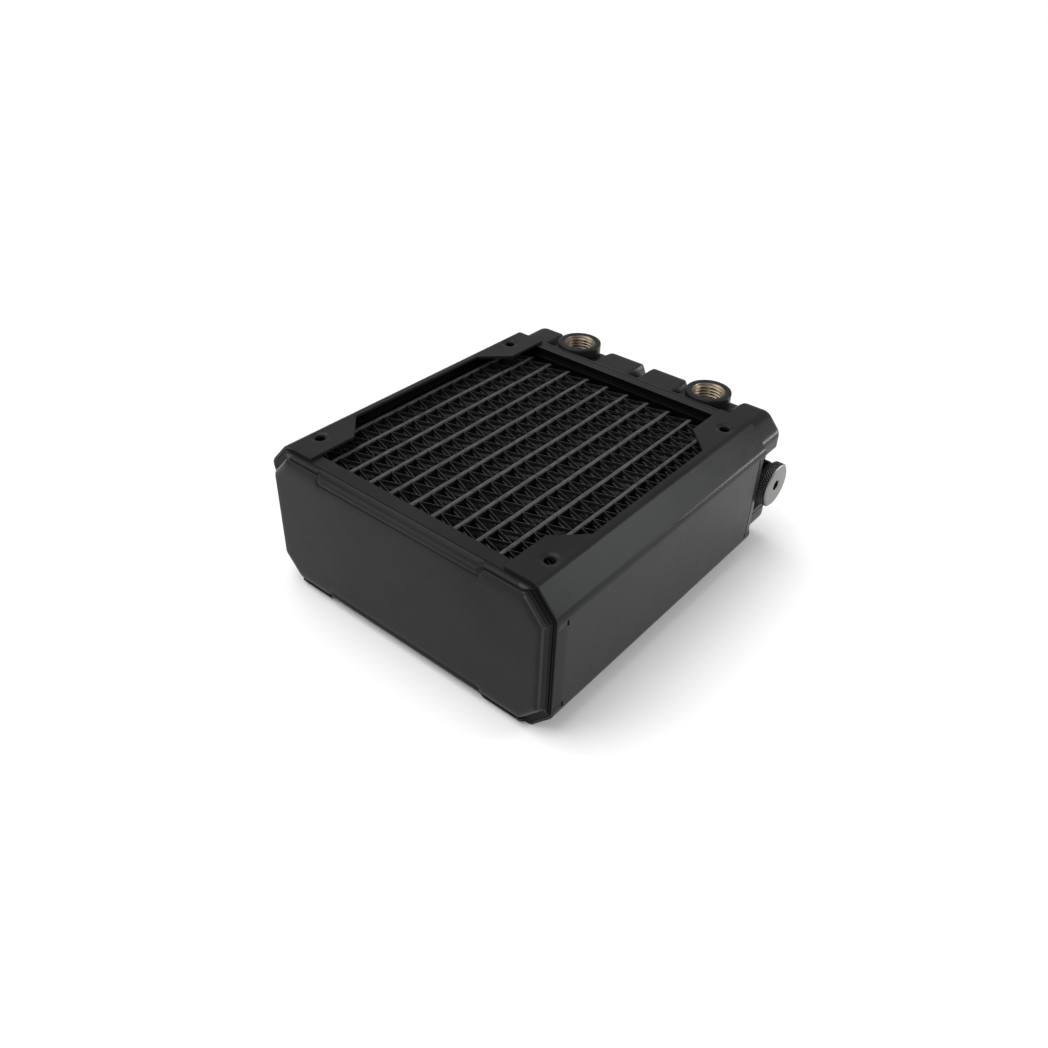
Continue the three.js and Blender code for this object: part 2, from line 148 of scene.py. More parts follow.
def settle(obj, angle=32, weighted=False):
    """Applies the modifiers, then shades smooth with sharp edges above the angle."""
    bake(obj)
    obj.data.shade_smooth()
    obj.data.set_sharp_from_angle(angle=math.radians(angle))
    if weighted:
        modifier = obj.modifiers.new("normals", "WEIGHTED_NORMAL")
        modifier.weight = 80
        modifier.keep_sharp = True
        bake(obj)
    return obj


def finish_piece(obj, body, slot, *nodes):
    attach(obj, body)
    if nodes:
        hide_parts(*nodes)
    return obj


def thicken(obj, thickness):
    modifier = obj.modifiers.new("thickness", "SOLIDIFY")
    modifier.thickness = thickness * MM
    modifier.offset = -1.0
    modifier.use_even_offset = True


def soften(obj, width, segments=2, angle=40):
    modifier = obj.modifiers.new("edge", "BEVEL")
    modifier.width = width * MM
    modifier.segments = segments
    modifier.limit_method = "ANGLE"
    modifier.angle_limit = math.radians(angle)
    modifier.use_clamp_overlap = True


# ---- materials ------------------------------------------------------------
class Shader:
    """A node material on one Principled shader, with a few shorthand links."""

    def __init__(self, name, **sockets):
        self.material = bpy.data.materials.new(name)
        self.material.use_nodes = True
        self.tree = self.material.node_tree
        self.bsdf = self.tree.nodes["Principled BSDF"]
        self.position = self.tree.nodes.new("ShaderNodeTexCoord").outputs["Object"]
        for socket, value in sockets.items():
            self.bsdf.inputs[socket.replace("_", " ")].default_value = value

    def link(self, source, target):
        self.tree.links.new(source, target)

    def noise(self, scale, detail=3.0, roughness=0.5, stretch=None):
        node = self.tree.nodes.new("ShaderNodeTexNoise")
        node.inputs["Scale"].default_value = scale
        node.inputs["Detail"].default_value = detail
        node.inputs["Roughness"].default_value = roughness
        source = self.position
        if stretch:
            mapping = self.tree.nodes.new("ShaderNodeMapping")
            mapping.inputs["Scale"].default_value = stretch
            self.link(source, mapping.inputs["Vector"])
            source = mapping.outputs["Vector"]
        self.link(source, node.inputs["Vector"])
        return node.outputs["Fac"]

    def ramp(self, source, stops):
        node = self.tree.nodes.new("ShaderNodeValToRGB")
        ramp = node.color_ramp
        while len(ramp.elements) < len(stops):
            ramp.elements.new(0.5)
        for element, (position, color) in zip(ramp.elements, stops):
            element.position = position
            element.color = (*color, 1.0) if isinstance(color, tuple) else (color,) * 3 + (1.0,)
        self.link(source, node.inputs["Fac"])
        return node.outputs["Color"]

    def blend(self, mode, factor, first, second):
        node = self.tree.nodes.new("ShaderNodeMix")
        node.data_type = "RGBA"
        node.blend_type = mode
        for socket, value in ((node.inputs[0], factor), (node.inputs[6], first), (node.inputs[7], second)):
            if isinstance(value, bpy.types.NodeSocket):
                self.link(value, socket)
            elif isinstance(value, tuple):
                socket.default_value = (*value, 1.0)
            else:
                socket.default_value = value
        return node.outputs[2]

    def math(self, operation, first, second=0.0):
        node = self.tree.nodes.new("ShaderNodeMath")
        node.operation = operation
        for socket, value in zip(node.inputs, (first, second)):
            if isinstance(value, bpy.types.NodeSocket):
                self.link(value, socket)
            else:
                socket.default_value = value
        return node.outputs[0]

    def vector_math(self, operation, source, other=None):
        node = self.tree.nodes.new("ShaderNodeVectorMath")
        node.operation = operation
        self.link(source, node.inputs[0])
        if other is not None:
            node.inputs[1].default_value = other
        return node.outputs

    def bump(self, height, strength, distance, previous=None):
        node = self.tree.nodes.new("ShaderNodeBump")
        node.inputs["Strength"].default_value = strength
        node.inputs["Distance"].default_value = distance
        self.link(height, node.inputs["Height"])
        if previous:
            self.link(previous, node.inputs["Normal"])
        return node.outputs["Normal"]

    def use(self, color=None, roughness=None, normal=None):
        for source, socket in ((color, "Base Color"), (roughness, "Roughness"), (normal, "Normal")):
            if source is not None:
                self.link(source, self.bsdf.inputs[socket])
        return self.material


def powder_coat(name="powder_coat", tone=1.0, shine=0.11):
    shader = Shader(name, Specular_IOR_Level=shine, Specular_Tint=(0.92, 1.0, 0.95, 1.0))
    patches = shader.noise(28, 3)
    grain = shader.noise(2600, 2, 0.6)
    specks = shader.noise(900, 1, 0.3)
    dark, light = 0.0100 * tone, 0.0150 * tone
    low_color, high_color = (dark, dark * 1.06, dark * 1.02), (light, light * 1.04, light)
    base = shader.ramp(patches, [(0.3, low_color), (0.7, high_color)])
    flecks = shader.ramp(specks, [(0.0, 0.0), (0.78, 0.0), (0.83, 1.0)])
    color = shader.blend("MIX", shader.math("MULTIPLY", flecks, 0.35), base, (0.07, 0.07, 0.068))
    rough = shader.ramp(shader.blend("MIX", 0.5, patches, grain), [(0.3, 0.24), (0.7, 0.34)])
    waves = shader.bump(shader.noise(38, 2), 0.35, 0.0006)
    normal = shader.bump(grain, 0.24, 0.00006, waves)
    return shader.use(color, rough, normal)


def tube_paint(name, dark, light):
    """Paint over aluminium, rubbed lighter in streaks along the tube."""
    shader = Shader(name, Specular_IOR_Level=0.25)
    streaks = shader.noise(700, 4, 0.65, (1.0, 0.45, 1.0))
    grain = shader.noise(2200, 2, 0.6)
    color = shader.ramp(streaks, [(0.30, dark), (0.72, light)])
    rough = shader.ramp(grain, [(0.3, 0.36), (0.7, 0.55)])
    normal = shader.bump(grain, 0.35, 0.00008, shader.bump(streaks, 0.4, 0.0003))
    return shader.use(color, rough, normal)


def fin_paint(name, dark, light):
    shader = Shader(name, Specular_IOR_Level=0.3)
    patches = shader.noise(500, 3)
    grain = shader.noise(3000, 2, 0.6)
    color = shader.ramp(patches, [(0.3, (dark, dark * 1.04, dark)), (0.7, (light, light * 1.04, light))])
    rough = shader.ramp(grain, [(0.3, 0.34), (0.7, 0.50)])
    return shader.use(color, rough, shader.bump(grain, 0.25, 0.00005))


def brass():
    shader = Shader("brass", Metallic=1.0)
    patches = shader.noise(120, 2, 0.5)
    turned = shader.noise(500, 2, 0.5, (1.0, 1.0, 9.0))
    color = shader.ramp(patches, [(0.30, (0.16, 0.122, 0.088)), (0.70, (0.29, 0.238, 0.18))])
    rough = shader.ramp(turned, [(0.3, 0.30), (0.7, 0.46)])
    return shader.use(color, rough, shader.bump(turned, 0.12, 0.00004))


RINGS_PER_METRE = 42000.0  # in radians of the wave


def turned_metal(centre):
    """Bare metal face with fine rings about an axis along X."""
    shader = Shader("plug_metal", Metallic=1.0, Anisotropic=0.35)
    offset = shader.vector_math("SUBTRACT", shader.position, centre)["Vector"]
    flat = shader.vector_math("MULTIPLY", offset, (0.0, 1.0, 1.0))["Vector"]
    length = shader.vector_math("LENGTH", flat)["Value"]
    rings = shader.math("SINE", shader.math("MULTIPLY", length, RINGS_PER_METRE))
    patches = shader.noise(150, 3)
    color = shader.ramp(patches, [(0.3, (0.18, 0.18, 0.176)), (0.7, (0.235, 0.235, 0.23))])
    rough = shader.ramp(patches, [(0.3, 0.34), (0.7, 0.46)])
    return shader.use(color, rough, shader.bump(rings, 0.18, 0.00002))


def black_metal(name, dark, light):
    shader = Shader(name, Metallic=0.85)
    grain = shader.noise(1500, 2)
    color = shader.ramp(grain, [(0.3, dark), (0.75, light)])
    rough = shader.ramp(grain, [(0.3, 0.30), (0.7, 0.45)])
    return shader.use(color, rough, shader.bump(grain, 0.25, 0.00005))


def rubber():
    shader = Shader("rubber", Specular_IOR_Level=0.35)
    grain = shader.noise(1800, 3)
    color = shader.ramp(grain, [(0.3, (0.010, 0.010, 0.010)), (0.7, (0.022, 0.022, 0.022))])
    rough = shader.ramp(grain, [(0.3, 0.6), (0.7, 0.8)])
    return shader.use(color, rough, shader.bump(grain, 0.3, 0.00006))


def floor_material():
    shader = Shader("floor_white", Specular_IOR_Level=0.2)
    patches = shader.noise(3, 2)
    color = shader.ramp(patches, [(0.3, (0.86, 0.86, 0.86)), (0.7, (0.88, 0.88, 0.88))])
    rough = shader.ramp(patches, [(0.3, 0.75), (0.7, 0.85)])
    return shader.use(color, rough)


COAT = powder_coat()
COAT_TANK = powder_coat("powder_coat_tank", 1.0, 0.085)
# The next three coats are lighter and darker copies of the one coat: a painted highlight, painted shade and
# deeper painted shade.
COAT_PAINTED_HIGHLIGHT = powder_coat("powder_coat_painted_highlight", 1.5, 0.2)
COAT_PAINTED_SHADE = powder_coat("powder_coat_painted_shade", 0.45, 0.06)
COAT_PAINTED_DEEP_SHADE = powder_coat("powder_coat_painted_deep_shade", 0.15, 0.01)
# Crest and wall are lit and shaded copies of one tube paint: the crest's lighter colour is a painted
# highlight, the wall's near-black one painted shade; both keep the rubbed streaks.
TUBE = tube_paint("tube_crest_painted_highlight", (0.026, 0.028, 0.027), (0.080, 0.084, 0.081))
TUBE_WALL_PAINTED_SHADE = tube_paint("tube_wall_painted_shade", (0.004, 0.004, 0.004), (0.008, 0.008, 0.008))
FIN = fin_paint("fin_paint", 0.005, 0.014)
# The two lighter fin paints are painted highlights: one on the thin edges, one on slats picked at random.
FIN_EDGE_PAINTED_HIGHLIGHT = fin_paint("fin_edge_painted_highlight", 0.018, 0.042)
FIN_SLAT_PAINTED_HIGHLIGHT = fin_paint("fin_slat_painted_highlight", 0.020, 0.048)
BRASS = brass()
PLUG_CENTRE = (PLUG_LOW + PLUG_HIGH) / 2
PLUG_METAL = turned_metal(tuple(PLUG_CENTRE * MM + CENTRE))
PLUG_BLACK = black_metal("plug_black", 0.018, 0.045)
# A lighter copy of the black metal: a painted highlight on the knurl's ridges.
PLUG_RIDGE_PAINTED_HIGHLIGHT = black_metal("plug_ridge_painted_highlight", 0.12, 0.24)
RUBBER = rubber()


# ---- flat patterns --------------------------------------------------------
def inside(point, polygon):
    x, y = point
    hit = False
    for (x1, y1), (x2, y2) in zip(polygon, polygon[1:] + polygon[:1]):
        if (y1 > y) != (y2 > y) and x < (x2 - x1) * (y - y1) / (y2 - y1) + x1:
            hit = not hit
    return hit


def circle(cx, cy, radius, count=32):
    steps = [2 * math.pi * k / count for k in range(count)]
    return [(cx + radius * math.cos(a), cy + radius * math.sin(a)) for a in steps]


def rectangle(left, right, bottom, top):
    return [(left, bottom), (right, bottom), (right, top), (left, top)]


def triangulate(outline, holes=(), rings=(), lines=(), points=()):
    """Triangles of a flat outline with holes. Rings and lines are kept as edges, points as corners."""
    verts, edges = [], []
    for loop in [outline, *holes, *rings]:
        first = len(verts)
        verts += [Vector(p) for p in loop]
        edges += [(first + k, first + (k + 1) % len(loop)) for k in range(len(loop))]
    for start, end in lines:
        edges.append((len(verts), len(verts) + 1))
        verts += [Vector(start), Vector(end)]
    verts += [Vector(p) for p in points]
    out, _, triangles, _, _, _ = delaunay_2d_cdt(verts, edges, [], 0, 1e-6)
    kept = []
    for face in triangles:
        centre = sum((out[k] for k in face), Vector((0, 0))) / len(face)
        if inside(centre, outline) and not any(inside(centre, hole) for hole in holes):
            kept.append(list(face))
    return [tuple(v) for v in out], kept


def merge_flat(obj, angle=0.2):
    """Merges triangles that lie in one plane."""
    edit = bmesh.new()
    edit.from_mesh(obj.data)
    bmesh.ops.dissolve_limit(edit, angle_limit=math.radians(angle), verts=edit.verts, edges=edit.edges)
    loose = [v for v in edit.verts if not v.link_faces]
    bmesh.ops.delete(edit, geom=loose, context="VERTS")
    edit.to_mesh(obj.data)
    edit.free()


# ---- the shared octagon ---------------------------------------------------
CHAMFER_RUN, CHAMFER_FALL = HALF_WIDTH - FLANGE_OUTER, HALF_THICKNESS - WALL_HALF_HEIGHT
CHAMFER_LENGTH = math.hypot(CHAMFER_RUN, CHAMFER_FALL)
NORMAL_X, NORMAL_Z = CHAMFER_FALL / CHAMFER_LENGTH, CHAMFER_RUN / CHAMFER_LENGTH
CHAMFER_DISTANCE = NORMAL_X * FLANGE_OUTER + NORMAL_Z * HALF_THICKNESS
EDGE_KINDS = ("top", "chamfer", "side", "chamfer") * 2


def octagon(half_width, half_height, inset):
    """Corners of an octagon whose chamfers lie `inset` under the panels' chamfers."""
    reach = CHAMFER_DISTANCE - inset
    ux = (reach - NORMAL_Z * half_height) / NORMAL_X
    oz = (reach - NORMAL_X * half_width) / NORMAL_Z
    upper = [(ux, half_height), (-ux, half_height), (-half_width, oz), (-half_width, -oz)]
    return upper + [(-x, -z) for x, z in upper]


def rounded_loop(corners, radius, counts, arc=5):
    """Points round a polygon with rounded corners, each as (x, z, kind before, kind after, share)."""
    size = len(corners)
    vectors = [Vector(c) for c in corners]
    tangents = []
    for k in range(size):
        before = (vectors[k] - vectors[k - 1]).normalized()
        after = (vectors[(k + 1) % size] - vectors[k]).normalized()
        turn = math.acos(clamp(before.dot(after), -1, 1))
        reach = radius * math.tan(turn / 2)
        tangents.append((before, turn, vectors[k] - before * reach, vectors[k] + after * reach))
    loop = []
    for k in range(size):
        before, turn, start, end = tangents[k]
        inward = Vector((-before.y, before.x))
        centre = start + inward * radius
        for step in range(arc + 1):
            share = step / arc
            spoke = Matrix.Rotation(turn * share, 2) @ (-inward * radius)
            p = centre + spoke
            loop.append((p.x, p.y, EDGE_KINDS[k - 1], EDGE_KINDS[k], share))
        following = tangents[(k + 1) % size][2]
        count = counts[EDGE_KINDS[k]]
        for step in range(1, count):
            p = end.lerp(following, step / count)
            loop.append((p.x, p.y, EDGE_KINDS[k], EDGE_KINDS[k], 0.0))
    return loop


def loft_faces(rings, size):
    faces = []
    for ring in range(rings - 1):
        for k in range(size):
            a, b = ring * size + k, ring * size + (k + 1) % size
            faces.append((a, b, b + size, a + size))
    return faces


RIM_CLEARANCE = 3.0  # squared distance that the cap's grid points keep from its rim


def capped_loft(name, rings, side, materials, cap_point, spacing=3.0, cap_holes=(), closed=False):
    """Skin through rings of (x, y, z), closed at its last ring by a cap that follows cap_point."""
    size = len(rings[0])
    points = [p for ring in rings for p in ring]
    faces = loft_faces(len(rings), size)
    if closed:
        faces.append(tuple(range(size)))
    edge = [(x, z) for x, _, z in rings[-1]]
    xs, zs = zip(*edge)
    grid = []
    x = math.ceil(min(xs) / spacing) * spacing
    while x < max(xs):
        z = math.ceil(min(zs) / spacing) * spacing
        while z < max(zs):
            near = min((x - ex) ** 2 + (z - ez) ** 2 for ex, ez in edge)
            if near > RIM_CLEARANCE and inside((x, z), edge):
                grid.append((x, z))
            z += spacing
        x += spacing
    verts, triangles = triangulate(edge, holes=cap_holes, points=grid)
    first = len(points)
    rim = {(round(x, 4), round(z, 4)): y for x, y, z in rings[-1]}
    for x, z in verts:
        y = rim.get((round(x, 4), round(z, 4)))
        points.append((x, cap_point(x, z) if y is None else y, z))
    faces += [tuple(first + k for k in face) for face in triangles]
    obj = make_object(name, [(x, side * y, z) for x, y, z in points], faces, materials)
    clean_mesh(obj, MERGE_LOFT)
    return obj


# ---- side panels ----------------------------------------------------------
BEND_STEPS = 8
DIMPLE_DEPTH, DIMPLE_INNER, DIMPLE_OUTER = 0.45, 2.4, 3.9
DIMPLE_RINGS = (DIMPLE_INNER, 2.75, 3.15, 3.5, DIMPLE_OUTER)
FOLD_INSET = 4.5  # the wall's ends fold in, this far from the panel's end
FOLD_DEPTH = 0.55
GROOVE_PLACE, GROOVE_WIDTH = 0.55, 0.4
GROOVE_DEPTH = {"port": 0.38, "return": 0.02}
RELIEF_PLACE, RELIEF_HALF_LENGTH, RELIEF_HALF_WIDTH = 17.4, 1.1, 0.5
FOLD_END, FOLD_FADE = 18.8, 16.0  # heights where the fold fades out beside the relief slots


def panel_profile():
    """Outer line of the bent sheet as (length along it, x, z), from the top flange's edge down."""
    flange = [(x, HALF_THICKNESS) for x in (GUSSET_INNER, FLANGE_OUTER)]
    corners = [*flange, (HALF_WIDTH, WALL_HALF_HEIGHT)]
    corners += [(x, -z) for x, z in reversed(corners)]
    vectors = [Vector(c) for c in corners]
    line = [vectors[0]]
    for k in range(1, len(vectors) - 1):
        before = (vectors[k] - vectors[k - 1]).normalized()
        after = (vectors[k + 1] - vectors[k]).normalized()
        turn = math.acos(clamp(before.dot(after), -1, 1))
        radius = WALL_BEND if corners[k][0] == HALF_WIDTH else TOP_BEND
        start = vectors[k] - before * radius * math.tan(turn / 2)
        inward = Vector((before.y, -before.x))
        centre = start + inward * radius
        for step in range(BEND_STEPS + 1):
            line.append(centre + Matrix.Rotation(-turn * step / BEND_STEPS, 2) @ (-inward * radius))
    line.append(vectors[-1])
    lengths = [0.0]
    for a, b in zip(line, line[1:]):
        lengths.append(lengths[-1] + (b - a).length)
    return [(s, p.x, p.y) for s, p in zip(lengths, line)]


def panel_dimple(x, y):
    """Depth of the pressed ring round each fan hole."""
    reach = math.hypot(abs(x) - FAN_HOLE, abs(y) - FAN_HOLE)
    return DIMPLE_DEPTH * (1 - smooth(DIMPLE_INNER, DIMPLE_OUTER, reach))


def side_panel(name, side, node):
    profile = panel_profile()
    total = profile[-1][0]
    fold = HALF_LENGTH - FOLD_INSET

    def bent(s, y):
        for (s1, x1, z1), (s2, x2, z2) in zip(profile, profile[1:]):
            if s <= s2 + 1e-6:
                t = (s - s1) / (s2 - s1)
                x, z = mix(x1, x2, t), mix(z1, z2, t)
                break
        if abs(z) > HALF_THICKNESS - 0.01:
            z -= math.copysign(panel_dimple(x, y), z)
        if x > HALF_WIDTH - 0.01:
            past = abs(y) - fold
            groove = GROOVE_DEPTH["port" if y > 0 else "return"]
            groove *= math.exp(-((past - GROOVE_PLACE) / GROOVE_WIDTH) ** 2)
            fade = 1 - smooth(FOLD_FADE, FOLD_END, abs(z))
            x -= (FOLD_DEPTH * smooth(0, FOLD_INSET, past) + groove) * fade
        return (side * x, y, z)

    reach = FLANGE_INNER - GUSSET_INNER
    notch = [(0, GUSSET_END), (reach, GUSSET_START), (reach, -GUSSET_START), (0, -GUSSET_END)]
    far = [(total - s, -y) for s, y in notch]
    outline = [(0, -HALF_LENGTH), *reversed(notch), (0, HALF_LENGTH)]
    outline += [(total, HALF_LENGTH), *reversed(far), (total, -HALF_LENGTH)]
    holes, rings = [], []
    for s in (FAN_HOLE - GUSSET_INNER, total - FAN_HOLE + GUSSET_INNER):
        for y in (-FAN_HOLE, FAN_HOLE):
            holes.append(circle(s, y, FAN_HOLE_RADIUS))
            rings += [circle(s, y, radius) for radius in DIMPLE_RINGS]
    wall = total / 2
    for s in (wall - RELIEF_PLACE, wall + RELIEF_PLACE):
        for y in (-fold, fold):
            holes.append(rectangle(s - RELIEF_HALF_LENGTH, s + RELIEF_HALF_LENGTH,
                                   y - RELIEF_HALF_WIDTH, y + RELIEF_HALF_WIDTH))
    lines = [((s, -HALF_LENGTH), (s, HALF_LENGTH)) for s, _, _ in profile[1:-1]]
    # edges along the groove, and across the fold where it fades out
    for sign in (-1, 1):
        for offset in (0, 0.28, GROOVE_PLACE, 0.83, 2 * GROOVE_PLACE):
            y = sign * (fold + offset)
            lines.append(((wall - FOLD_FADE, y), (wall + FOLD_FADE, y)))
    fade_steps = (14.8, FOLD_FADE, 16.7, RELIEF_PLACE, 18.1, FOLD_END)
    for s in [wall + sign * offset for sign in (-1, 1) for offset in fade_steps]:
        for sign in (-1, 1):
            lines.append(((s, sign * (fold + 2 * GROOVE_PLACE)), (s, sign * HALF_LENGTH)))
    verts, triangles = triangulate(outline, holes, rings, lines)
    obj = make_object(name, [bent(s, y) for s, y in verts], triangles, [COAT])
    clean_mesh(obj, MERGE_FINE)
    face_towards(obj, (side, 0, 0))
    merge_flat(obj, 0.05)
    thicken(obj, SHEET)
    soften(obj, 0.13)
    settle(obj, 32, True)
    return finish_piece(obj, RADIATOR, "powder_coat", node)


# ---- header plates --------------------------------------------------------
HEADER_FACE = HEADER_LOW.y
HEADER_RIM = HEADER_HIGH.y
LIP_HALF_WIDTH, LIP_HALF_HEIGHT, LIP_INSET = HEADER_HIGH.x, HEADER_HIGH.z, 1.9
COUNTS = {"top": 210, "side": 34, "chamfer": 8}
PLAIN_COUNTS = {"top": 24, "side": 10, "chamfer": 4}
# Heights over the header's face of the sloped edge's foot and of its upper bend, by side.
LIP_BEND = {-1: (0.0, 0.85), 1: (0.9, 2.75)}
BEND_DROP = 0.47  # the upper bend's rounding takes this much height
SLOPE = ((1.8, 0.85), (2.6, 0.65), (3.1, 0.4), (3.5, 0.0))  # (drop, share of the height)
SIDE_LESS = 0.6  # the sides and chamfers drop this much less than the top
HEADER_RADIUS = 2.4
HEADER_SHEET = 1.2
SLOT_GAP = 0.15


def lip_loop(drop_top, drop_side, drop_chamfer, radius, counts):
    corners = octagon(LIP_HALF_WIDTH - drop_side, LIP_HALF_HEIGHT - drop_top, LIP_INSET + drop_chamfer)
    return rounded_loop(corners, radius, counts)


def tube_x(column):
    low, high = node_box(f"flat_tube_upper_{column + 1:02d}")
    return (low.x + high.x) / 2


TUBE_X = [tube_x(column) for column in range(TUBE_COLUMNS)]
TUBE_LOW, TUBE_HIGH = node_box("flat_tube_upper_01")
TUBE_HALF = (TUBE_HIGH.x - TUBE_LOW.x) / 2


def header_plate(name, side, node):
    foot, bend = LIP_BEND[side]
    below = bend - BEND_DROP
    edge = [(0, HEADER_RIM - HEADER_FACE), (0, bend), (0.06, bend - 0.2), (0.22, bend - 0.37)]
    edge.append((0.5, below))
    edge += [(drop, mix(foot, below, share)) for drop, share in SLOPE]
    rings = []
    for drop, above in edge:
        loop = lip_loop(drop, drop - SIDE_LESS, drop - SIDE_LESS, HEADER_RADIUS, PLAIN_COUNTS)
        rings.append([(x, HEADER_FACE + above, z) for x, z, *_ in loop])
    slots = []
    half = TUBE_HALF + SLOT_GAP
    for x in TUBE_X:
        for low, high in ((TUBE_LOW.z, TUBE_HIGH.z), (-TUBE_HIGH.z, -TUBE_LOW.z)):
            slots.append(rectangle(x - half, x + half, low - SLOT_GAP, high + SLOT_GAP))
    edge_loop = [(x, z) for x, _, z in rings[-1]]
    slots = [slot for slot in slots if all(inside(p, edge_loop) for p in slot)]
    # Faces towards the core and on the slope get deep painted shade; the lip's sides and chamfers get painted
    # shade.
    coats = [COAT, COAT_PAINTED_DEEP_SHADE, COAT_PAINTED_SHADE]
    obj = capped_loft(name, rings, side, coats, lambda x, z: HEADER_FACE + foot, 6.0, slots)
    for face in obj.data.polygons:
        x, y, z = (abs(c) / MM for c in face.center - CENTRE)
        if y < HEADER_FACE + bend - 0.3:
            face.material_index = 1
        elif z < LIP_HALF_HEIGHT - 0.4:
            face.material_index = 2
    face_towards(obj, (0, -side, 0))
    thicken(obj, HEADER_SHEET)
    settle(obj, 32, True)
    return finish_piece(obj, RADIATOR, "powder_coat", node)


# ---- return tank ----------------------------------------------------------
# Each ring is (drop, y past the start) for the top edge near the corners, the top edge across the
# middle, the chamfers and the sides.
RETURN_RINGS = [
    ((0.00, 0.00), (0.00, 0.00), (0.00, 0.00), (0.00, 0.00)),
    ((0.00, 0.80), (0.02, 0.20), (0.00, 0.05), (0.00, 0.10)),
    ((0.04, 1.30), (0.15, 0.42), (0.10, 0.06), (0.06, 0.15)),
    ((0.18, 1.68), (0.42, 0.74), (0.40, 0.06), (0.20, 0.20)),
    ((0.45, 1.86), (0.74, 1.14), (0.80, 0.06), (0.40, 0.25)),
    ((0.80, 1.80), (1.14, 1.58), (1.20, 0.06), (0.60, 0.34)),
    ((1.02, 1.40), (1.60, 2.00), (1.60, 0.06), (0.80, 0.50)),
    ((1.22, 0.90), (2.12, 2.38), (1.88, 0.08), (1.00, 0.75)),
    ((1.56, 0.70), (2.68, 2.68), (2.04, 0.22), (1.25, 1.05)),
    ((1.86, 0.90), (3.24, 2.88), (2.14, 0.60), (1.50, 1.38)),
    ((2.06, 1.44), (3.74, 2.95), (2.25, 1.10), (1.80, 1.72)),
    ((2.26, 1.86), (4.16, 2.88), (2.40, 1.60), (2.10, 2.05)),
    ((2.58, 2.28), (4.52, 2.62), (2.66, 2.05), (2.40, 2.35)),
    ((3.08, 2.62), (4.82, 2.32), (3.06, 2.45), (2.70, 2.62)),
    ((3.95, 2.90), (5.08, 2.50), (3.60, 2.78), (3.00, 2.86)),
    ((5.20, 3.05), (5.45, 2.97), (4.40, 3.00), (3.40, 3.02)),
    ((6.80, 3.10), (6.80, 3.10), (5.40, 3.10), (4.10, 3.10)),
    ((8.40, 3.10), (8.40, 3.10), (6.90, 3.10), (5.50, 3.10)),
]
SHOULDER_HALF, SHOULDER_EDGE = 37.3, 1.3
RETURN_RADIUS = 2.6


def tank_painted_light(x, y, z):
    """Material of the return tank at a face's centre: 1 for painted shade in the gap and groove, 2 for a
    painted highlight on the rolled edge.
    """
    fall = CHAMFER_DISTANCE - LIP_INSET - NORMAL_X * x - NORMAL_Z * z
    from_side, from_top, past = LIP_HALF_WIDTH - x, LIP_HALF_HEIGHT - z, y - TANK_START
    if (fall < 1.95 and past < 0.2) or (from_side < 0.75 and past < 0.47):
        return 1
    if x > SHOULDER_HALF + 0.9 and 0.85 < from_top < 1.95 and past < 1.4:
        return 1
    if (fall < 3.1 or 1.7 < from_side < 2.3) and past > 1.0 and x > SHOULDER_HALF:
        return 2
    return 0


def return_tank():
    depth = RETURN_HIGH.y - RETURN_LOW.y
    last = RETURN_RINGS[-1][0][1]
    rings = []
    for corner, middle, chamfer, flank in RETURN_RINGS:
        loop = lip_loop(corner[0], flank[0], chamfer[0], RETURN_RADIUS, COUNTS)
        depths = {"top": corner[1], "chamfer": chamfer[1], "side": flank[1]}
        ring = []
        for x, z, before, after, share in loop:
            y = mix(depths[before], depths[after], smooth(0, 1, share))
            if before == after == "top":
                start, end = SHOULDER_HALF - SHOULDER_EDGE, SHOULDER_HALF + SHOULDER_EDGE
                centre = 1 - smooth(start, end, abs(x))
                z -= math.copysign((middle[0] - corner[0]) * centre, z)
                y += (middle[1] - corner[1]) * centre
            ring.append((x, TANK_START + y * depth / last, z))
        rings.append(ring)
    face = TANK_START + depth
    # Index 1 is painted shade in the gap and groove, index 2 a painted highlight on the rolled edge.
    coats = [COAT_TANK, COAT_PAINTED_SHADE, COAT_PAINTED_HIGHLIGHT]
    obj = capped_loft("return_tank_pressed", rings, -1, coats, lambda x, z: face, closed=True)
    for polygon in obj.data.polygons:
        polygon.material_index = tank_painted_light(*(abs(c) / MM for c in polygon.center - CENTRE))
    settle(obj, 38, True)
    return finish_piece(obj, RADIATOR, "powder_coat", "return_tank")


# ---- port tank ------------------------------------------------------------
PORT_X = [sum(c.x for c in node_box(f"port_socket_{side}")) / 2 for side in ("left", "right")]
PORT_Y = (SOCKET_LOW.y + SOCKET_HIGH.y) / 2
BODY_TOP, BODY_SIDE, BODY_CHAMFER = 1.7, 1.1, 0.7
BACK_EDGE = 5.0
RECESS_HALF, RECESS_DEPTH, RECESS_WIDENING = 12.3, 2.3, 4.0
VALLEY_DEPTH, VALLEY_FLOOR, VALLEY_HALF, VALLEY_WIDENING = 5.0, 0.8, 2.9, 2.8
BACK_GROOVE_DEPTH, BACK_GROOVE_FLOOR, BACK_GROOVE_HALF = 2.2, 0.9, 3.4
VENT_RECESS_DEPTH = 3.4
OPENING_RADIUS = 7.25


def flare(y, length):
    """Grows from 0 to 1 over the last `length` before the tank's back, as a quarter circle."""
    return 1 - math.sqrt(1 - clamp((y - TANK_HIGH.y + length) / length) ** 2)


def port_top_drop(x, y):
    """How far the tank's top lies under its plateau, in the port recesses and the middle pinch."""
    recess = 0.0
    edge = RECESS_HALF + RECESS_WIDENING * flare(y, 8.5)
    for port in PORT_X:
        recess = max(recess, 1 - smooth(edge - 1.0, edge + 1.0, abs(x - port)))
    recess *= RECESS_DEPTH * smooth(TANK_START + 1.3, TANK_START + 2.2, y)
    return max(recess, pinch_drop(x, y))


